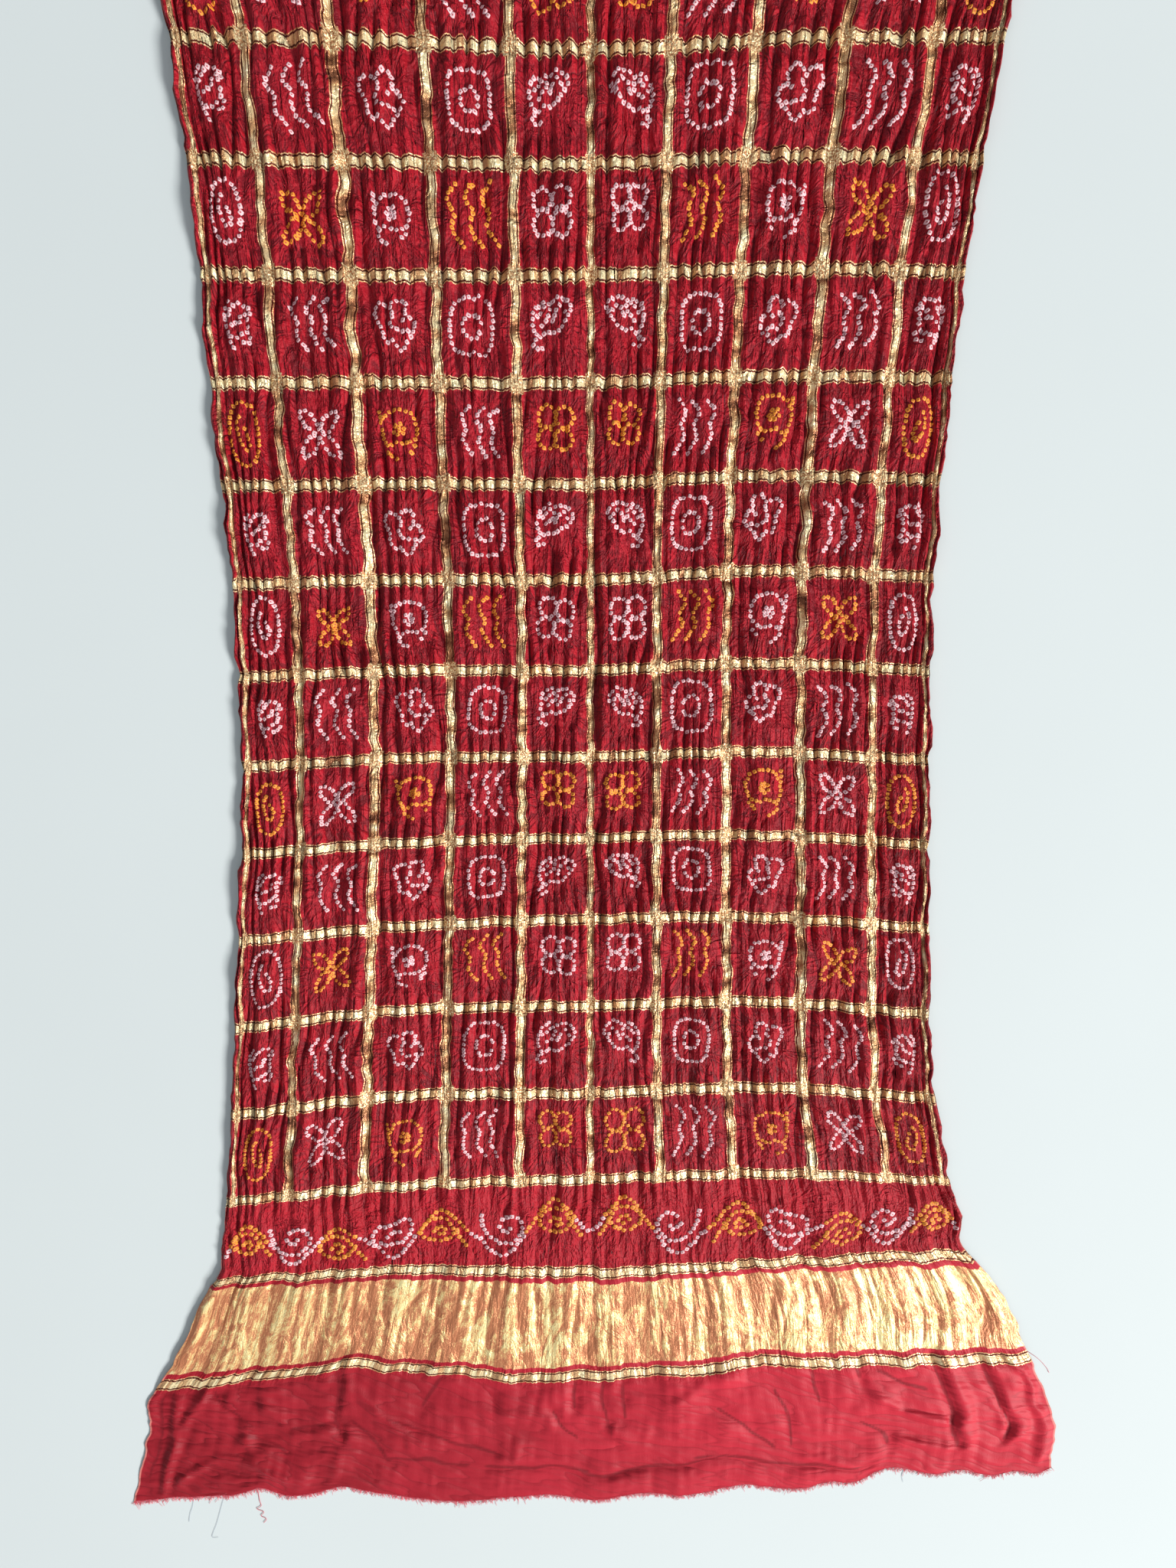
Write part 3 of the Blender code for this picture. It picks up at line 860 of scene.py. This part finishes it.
MOTIFS = {
    "ring": [arc(0.0, 0.0, 0.52, 0.60, 0, 360, square=0.14),
             stroke((22, 6), (14, 20), (-2, 26), (-18, 14), (-20, -6), (-8, -22), (12, -24), (20, -12))],
    "lotus": [stroke((-28, 44), (-42, 28), (-40, 4), (-34, -18), (-26, -36), (-14, -54)),
              stroke((-26, 18), (-10, 38), (12, 46), (34, 38), (42, 24)),
              stroke((28, 26), (34, 6), (32, -12), (18, -20), (0, -28), (-18, -30)),
              stroke((40, -24), (32, -40), (20, -38)),
              stroke((-16, -2), (-4, 4), (10, 4), (14, 20))],
    "waves": [stroke((x + 8, 58), (x - 12, 34), (x + 2, 6), (x - 4, -24), (x + 18, -58))
              for x in (-40, 0, 36)],
    "clover": [stroke((-20, 44), (-40, 42), (-48, 24), (-36, 2), (-32, -16), (-28, -34), (-10, -34)),
               stroke((-2, -44), (10, -54), (24, -36), (44, -14), (46, 0), (30, 20), (18, 10)),
               arc(0.10, 0.34, 0.18, 0.19, -20, 215),
               stroke((-6, 16), (-12, 2), (-4, -12), (12, -14), (28, -16))],
    "mango": [stroke((-20, 44), (-42, 32), (-50, 10), (-48, -10), (-40, -24)),
              stroke((-36, 16), (-10, 38), (26, 50), (50, 30), (40, 10), (24, -6), (2, -20), (-16, -18),
                     (-38, -32), (-50, -40), (-40, -52), (-28, -50)),
              stroke((-26, 0), (-8, 14), (-4, 28)),
              stroke((2, 6), (12, 24)),
              stroke((24, 34), (34, 22))],
    "oval": [arc(0.0, 0.0, 0.50, 0.68, 0, 360, square=0.05),
             stroke((-8, 34), (-18, 20), (-14, -4), (-2, -24), (16, -30), (20, -8), (8, 12))],
    "cross": [arc(x, y, 0.29, 0.14, 0, 360, turn=turn) for x, y, turn in
              ((0.24, 0.27, 49), (-0.24, 0.27, 131), (-0.24, -0.27, 229), (0.24, -0.27, 311))],
    "paisley": [stroke((-36, 30), (-28, 42), (-10, 50), (12, 50), (30, 42), (41, 24), (42, 2), (34, -16),
                       (16, -24), (-6, -20), (-26, -28), (-28, -46), (-10, -56)),
                stroke((-44, 46), (-42, 18), (-38, -6), (-32, -22)),
                arc(0.0, 0.10, 0.11, 0.12, 0, 320),
                stroke((0, 14), (2, 6)),
                stroke((36, -28), (26, -42))],
    "rosette": [arc(x, y, 0.25, 0.24, 0, 360) for x, y in
                ((0.25, 0.25), (-0.25, 0.25), (-0.24, -0.25), (0.24, -0.25))],
}
WHITE, ORANGE = "white", "orange"

# The motifs of a row's left half, from the side in: name, colour and rise, in half squares
FIRST_ROW = (("lotus", WHITE, 0.02), ("waves", WHITE, 0.0), ("clover", WHITE, 0.0), ("ring", WHITE, 0.02),
             ("mango", WHITE, 0.12))
SECOND_ROW = (("oval", WHITE, 0.04), ("cross", ORANGE, 0.0), ("paisley", WHITE, 0.0), ("waves", ORANGE, 0.04),
              ("rosette", WHITE, 0.18))
THIRD_ROW = (("oval", ORANGE, 0.0), ("cross", WHITE, 0.0), ("paisley", ORANGE, 0.0), ("waves", WHITE, 0.02),
             ("rosette", ORANGE, 0.12))


def row_of_motifs(row):
    """The five motifs of the left half of a row, counted up from the border."""
    if row % 2 == 1:
        return FIRST_ROW
    return THIRD_ROW if row % 4 == 0 else SECOND_ROW


def spaced(line, spacing):
    """Points at even spacing along a line of points on the surface, and their places on it."""
    steps = np.linalg.norm(np.diff(line, axis=0), axis=1)
    run = np.concatenate([[0.0], np.cumsum(steps)])
    count = max(int(round(run[-1] / spacing)), 1)
    closed = np.linalg.norm(line[0] - line[-1]) < 0.5 * spacing
    return np.linspace(0, run[-1], count + 1)[:count if closed else count + 1], run


def dots_on(strokes, to_woven, spacing, rng):
    """Woven places of the dots along the strokes, spaced evenly where the cloth lies."""
    places = []
    for line in strokes:
        u, v = to_woven(line)
        x, y = laid_plan(u, v)
        at, run = spaced(np.stack([x, y], axis=1), spacing)
        places.append(np.stack([np.interp(at, run, u), np.interp(at, run, v)], axis=1))
    found = np.concatenate(places)
    return found + rng.normal(0.0, DOT_SCATTER, found.shape)


def check_dots(rng):
    """Dots of every square, in two lists by colour. The right half mirrors the left."""
    found = {WHITE: [], ORANGE: []}
    for row in range(ROWS_OF_CHECKS):
        for column, (name, colour, rise) in enumerate(row_of_motifs(row)):
            for side in (-1, 1):
                centre_u = side * (COLUMNS_OF_CHECKS / 2 - 0.5 - column) * COLUMN_PITCH
                centre_v = LAST_BAND_V + (row + MOTIF_MIDDLE) * ROW_PITCH
                turn = rng.normal(0.0, MOTIF_TURN)
                size = 1 + rng.normal(0.0, MOTIF_SIZE_CHANGE)
                shift = rng.normal(0.0, MOTIF_SHIFT, 2)

                def to_woven(line):
                    a, b = line[:, 0] * -side, line[:, 1]
                    a, b = size * (a - turn * b), size * (b + turn * a)
                    return (centre_u + shift[0] + a * COLUMN_PITCH / 2,
                            centre_v + shift[1] + (b + rise) * MOTIF_HEIGHT * ROW_PITCH / 2)

                found[colour].append(dots_on(MOTIFS[name], to_woven, DOT_SPACING, rng))
    return {colour: np.concatenate(places) for colour, places in found.items()}


# The creeper's stem in millimetres, from a point past the middle: over orange buds and under white ones
STEM = ((-22, 354), (0, 334), (22, 356), (46, 373), (74, 340), (107, 306), (142, 332), (177, 361), (206, 332),
        (233, 305), (263, 328), (292, 346), (322, 326), (350, 306), (376, 334), (402, 362), (426, 350),
        (446, 326))

# Points of its smooth line left out at the start; and in metres, how near the middle and the side no dot is
STEM_START = 8
STEM_FROM_MIDDLE = 0.002
BUD_FROM_SIDE = 0.006
STEM_TURNS_WHITE = 0.334
MIDDLE_WHITE_HALF = 0.019

# Each bud's outline and heart, from its place, in millimetres
TEARDROP = (
    ((-29.7, -16.5), (-19, -3), (-6, 12.5), (11, 13), (24, 5), (25.5, -5), (13, -12), (1, -13), (-11, -7),
     (-17.5, 1.5)),
    ((11, -2), (3, 5), (-4, -1), (4, -6), (10, -4)),
)
HOOK = (
    ((26.5, 18), (24.5, 5), (16, -9), (2, -15), (-14, -12), (-24.5, 0), (-22, 12), (-11, 17.5), (0, 12)),
    ((4, 3.5), (-4, -3), (-10, 3)),
)
LEAF = (
    ((23, -7), (21.5, 3.5), (11, 10), (-3, 15), (-17, 21.5), (-23.5, 12), (-20, 0), (-9, -8.5), (7, -12),
     (21.5, -8)),
    ((6, -2), (-2, 4.5), (-9, 6)),
)

# The buds: woven place in metres, shape and colour
BUDS = (
    (0.039, 0.348, TEARDROP, ORANGE),
    (0.107, 0.336, HOOK, WHITE),
    (0.177, 0.336, TEARDROP, ORANGE),
    (0.233, 0.333, LEAF, WHITE),
    (0.292, 0.322, TEARDROP, ORANGE),
    (0.350, 0.334, HOOK, WHITE),
    (0.405, 0.338, TEARDROP, ORANGE),
)
BUD_WIDTHS = {ORANGE: 0.92, WHITE: 0.95}


def creeper_dots(rng):
    """Dots of the wavy creeper and its buds, the right half mirroring the left."""
    spacing = DOT_SPACING * BORDER_DOT_SCALE
    found = {ORANGE: [], WHITE: []}
    for side in (-1, 1):
        stem = path(*STEM)[STEM_START:] / 1000
        stem = dots_on([stem], lambda line: (side * line[:, 0], line[:, 1]), spacing, rng)
        stem = stem[stem[:, 0] * side > STEM_FROM_MIDDLE]
        white = (stem[:, 1] < STEM_TURNS_WHITE) | (np.abs(stem[:, 0]) < MIDDLE_WHITE_HALF)
        found[WHITE].append(stem[white])
        found[ORANGE].append(stem[~white])
        for bud_u, bud_v, shape, colour in BUDS:
            width = BUD_WIDTHS[colour]

            def to_woven(line):
                return side * (bud_u + width * line[:, 0]), bud_v + line[:, 1]

            dots = dots_on([path(*points) / 1000 for points in shape], to_woven, spacing, rng)
            found[colour].append(dots[np.abs(dots[:, 0]) < CLOTH_WIDTH / 2 - BUD_FROM_SIDE])
    return {colour: np.concatenate(places) for colour, places in found.items()}


def make_dots(name, places, scales, surface, material, rng):
    """Joined mesh of the tied puckers: each a squarish ring raised round a sunk point."""
    rings = ((1.00, -0.12), (0.52, 0.95))
    angle = np.arange(DOT_SIDES) * 2 * math.pi / DOT_SIDES
    count = len(places)
    turn = rng.uniform(0, math.pi / 2, count)
    size = DOT_RADIUS * scales * rng.uniform(0.88, 1.14, count)
    step = 0.002
    u, v = places[:, 0], places[:, 1]
    x0, y0 = laid_plan(u - step, v)
    x1, y1 = laid_plan(u + step, v)
    across = (x1 - x0) / (2 * step)
    x0, y0 = laid_plan(u, v - step)
    x1, y1 = laid_plan(u, v + step)
    along = (y1 - y0) / (2 * step)
    points, radial = [], []
    for share, height in rings:
        for k in range(DOT_SIDES):
            reach = size * share * (1.12 if k % 2 else 0.90)
            du = reach * np.cos(angle[k] + turn) / across
            dv = reach * np.sin(angle[k] + turn) / along
            ring = surface.at(u + du, v + dv)
            ring[:, 2] += DOT_HEIGHT * height * scales
            points.append(ring)
            radial.append(np.full(count, share))
    tip = surface.at(u, v)
    tip[:, 2] += DOT_HEIGHT * 0.65 * scales
    points.append(tip)
    radial.append(np.zeros(count))
    points = np.stack(points, axis=1)
    radial = np.stack(radial, axis=1)
    per_dot = points.shape[1]
    faces = []
    for ring in range(len(rings) - 1):
        for k in range(DOT_SIDES):
            a, b = ring * DOT_SIDES + k, ring * DOT_SIDES + (k + 1) % DOT_SIDES
            faces.append((a, b, b + DOT_SIDES))
            faces.append((a, b + DOT_SIDES, a + DOT_SIDES))
    last = (len(rings) - 1) * DOT_SIDES
    for k in range(DOT_SIDES):
        faces.append((last + k, last + (k + 1) % DOT_SIDES, per_dot - 1))
    faces = (np.array(faces)[None] + (np.arange(count) * per_dot)[:, None, None]).reshape(-1, 3)
    made = new_mesh_object(name, points.reshape(-1, 3), faces.tolist(), material)
    tone = np.repeat(rng.uniform(0, 1, count), per_dot)
    set_uv(made.data, "dot", np.stack([radial.ravel(), tone], axis=1))
    return made


def tube_along(points, radius, sides=4):
    """Points and faces of a thin round thread along a line of points."""
    points = np.asarray(points, dtype=float)
    ahead = np.gradient(points, axis=0)
    ahead /= np.linalg.norm(ahead, axis=1)[:, None]
    side = np.cross(ahead, (0.0, 0.0, 1.0))
    side /= np.maximum(np.linalg.norm(side, axis=1), 1e-6)[:, None]
    up = np.cross(side, ahead)
    angle = np.arange(sides) * 2 * math.pi / sides
    rings = points[:, None] + radius * (np.cos(angle)[None, :, None] * side[:, None]
                                        + np.sin(angle)[None, :, None] * up[:, None])
    faces = []
    for i in range(len(points) - 1):
        for k in range(sides):
            a, b = i * sides + k, i * sides + (k + 1) % sides
            faces.append((a, b, b + sides, a + sides))
    faces.append(tuple(range(sides))[::-1])
    faces.append(tuple(range((len(points) - 1) * sides, len(points) * sides)))
    return rings.reshape(-1, 3), faces


def joined_threads(name, lines, material):
    """One mesh of many threads, each given as (points, radius)."""
    all_points, all_faces = [], []
    offset = 0
    for points, radius in lines:
        ring_points, faces = tube_along(points, radius)
        all_points.append(ring_points)
        all_faces += [tuple(i + offset for i in face) for face in faces]
        offset += len(ring_points)
    return new_mesh_object(name, np.concatenate(all_points), all_faces, material)


def frayed_lines(surface, rng):
    """Short frayed ends all along the raw edge."""
    lines = []
    for u in rng.uniform(-CLOTH_WIDTH / 2, CLOTH_WIDTH / 2, FRAY_COUNT):
        root = surface.at(np.array([u]), np.array([FRAY_ROOT_V]))[0]
        length = rng.uniform(*FRAY_LENGTH) * (LONG_FRAY_SCALE if rng.random() < LONG_FRAY_SHARE else 1.0)
        heading = -math.pi / 2 + rng.normal(0.0, FRAY_TURN)
        bend = rng.normal(0.0, FRAY_BEND)
        points = [root]
        for part in range(1, 4):
            turn = heading + bend * part / 3
            points.append(points[-1] + length / 3 * np.array([math.cos(turn), math.sin(turn), 0.0]))
        points = np.array(points)
        points[:, 2] = np.linspace(root[2], GROUND_CLEARANCE + FRAY_END_LIFT * rng.random(), 4)
        lines.append((points, FRAY_RADIUS))
    return lines


# Loose threads: colour, radius in metres, and points on the surface in millimetres
LOOSE_THREADS = (
    ("grey", 0.00014, ((-400.8, -684), (-402, -694), (-406, -706), (-408, -716))),
    ("grey", 0.00014, ((-369, -682), (-374.5, -700), (-380, -718), (-386, -734), (-384.5, -736.5),
                       (-380, -736))),
    ("red", 0.00028, ((-334.5, -676), (-334, -688), (-333, -695), (-337.5, -699), (-331, -703), (-334, -708),
                      (-329, -712), (-332, -717))),
    ("red", 0.00022, ((-428, -684), (-432, -690), (-431, -695))),
    ("red", 0.00018, ((421, -504), (434, -514), (443, -524), (447, -531))),
    ("grey", 0.00014, ((314, -650), (313, -657), (314.5, -665))),
)


def loose_lines(colour):
    """The long loose threads of one colour, as smooth lines on the surface."""
    lines = []
    for thread_colour, radius, points in LOOSE_THREADS:
        if thread_colour == colour:
            flat = path(*points) / 1000
            height = np.full(len(flat), GROUND_CLEARANCE + radius)
            lines.append((np.column_stack([flat, height]), radius))
    return lines


def make_floor():
    """A plain pale floor."""
    g = Graph("pale_floor")
    tone = g.noise(g.object_place(), scale=3.0, detail=3.0)
    pale = tuple(min(1.0, c * 1.05) for c in FLOOR_WHITE)
    material = g.finish(base_color=g.mix(tone, FLOOR_WHITE, pale), roughness=0.9)
    half = FLOOR_SIZE / 2
    points = np.array([(-half, -half, 0.0), (half, -half, 0.0), (half, half, 0.0), (-half, half, 0.0)])
    floor = new_mesh_object("floor", points, [(0, 1, 2, 3)], material, smooth=False)


def make_lights():
    """Soft daylight from the lower right, with a dim pale surround."""
    scene = bpy.context.scene
    for name, place, power, colour in LIGHTS:
        data = bpy.data.lights.new(name, "AREA")
        data.shape = "SQUARE"
        data.size = LIGHT_SIZE
        data.energy = power
        data.color = colour
        lamp = bpy.data.objects.new(name, data)
        lamp.location = place
        lamp.rotation_euler = (-Vector(place)).to_track_quat("-Z", "Y").to_euler()
        scene.collection.objects.link(lamp)
    world = bpy.data.worlds.new("surround")
    world.use_nodes = True
    background = world.node_tree.nodes["Background"]
    background.inputs["Color"].default_value = SURROUND_COLOUR
    background.inputs["Strength"].default_value = SURROUND_STRENGTH
    scene.world = world
    scene.view_settings.view_transform = "Standard"


def make_camera():
    """The photo's camera, over the cloth and nearer its upper end."""
    data = bpy.data.cameras.new("camera")
    data.sensor_width = SENSOR
    data.lens = SENSOR * PHOTO_FOCAL_PX / PHOTO_HEIGHT_PX
    camera = bpy.data.objects.new("camera", data)
    back = Vector((0.0, math.sin(CAMERA_TILT), math.cos(CAMERA_TILT)))
    up = Vector((0.0, math.cos(CAMERA_TILT), -math.sin(CAMERA_TILT)))
    turn = Matrix((Vector((1.0, 0.0, 0.0)), up, back)).transposed()
    camera.matrix_world = Matrix.Translation(Vector(AXIS_POINT) + CAMERA_DISTANCE * back) @ turn.to_4x4()
    bpy.context.scene.collection.objects.link(camera)
    bpy.context.scene.camera = camera


def main():
    make_camera()
    make_lights()
    make_floor()
    cloth, surface = make_sheet()
    rng = np.random.default_rng(5)
    squares = check_dots(rng)
    border = creeper_dots(rng)
    pieces = []
    for colour, tint in ((WHITE, TIED_WHITE), (ORANGE, TIED_ORANGE)):
        places = np.concatenate([squares[colour], border[colour]])
        scales = np.ones(len(places))
        scales[len(squares[colour]):] = BORDER_DOT_SCALE
        material = dot_material("tied_" + colour, tint)
        pieces.append(make_dots("dots_" + colour, places, scales, surface, material, rng))
    crimson_thread = thread_material("crimson_thread", THREAD_CRIMSON)
    grey_thread = thread_material("grey_thread", THREAD_GREY)
    red_lines = frayed_lines(surface, rng) + loose_lines("red")
    pieces.append(joined_threads("frayed_edge", red_lines, crimson_thread))
    pieces.append(joined_threads("loose_threads", loose_lines("grey"), grey_thread))
    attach(cloth, "root")
    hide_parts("cloth")
    for piece in pieces:
        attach(piece, "root")


main()
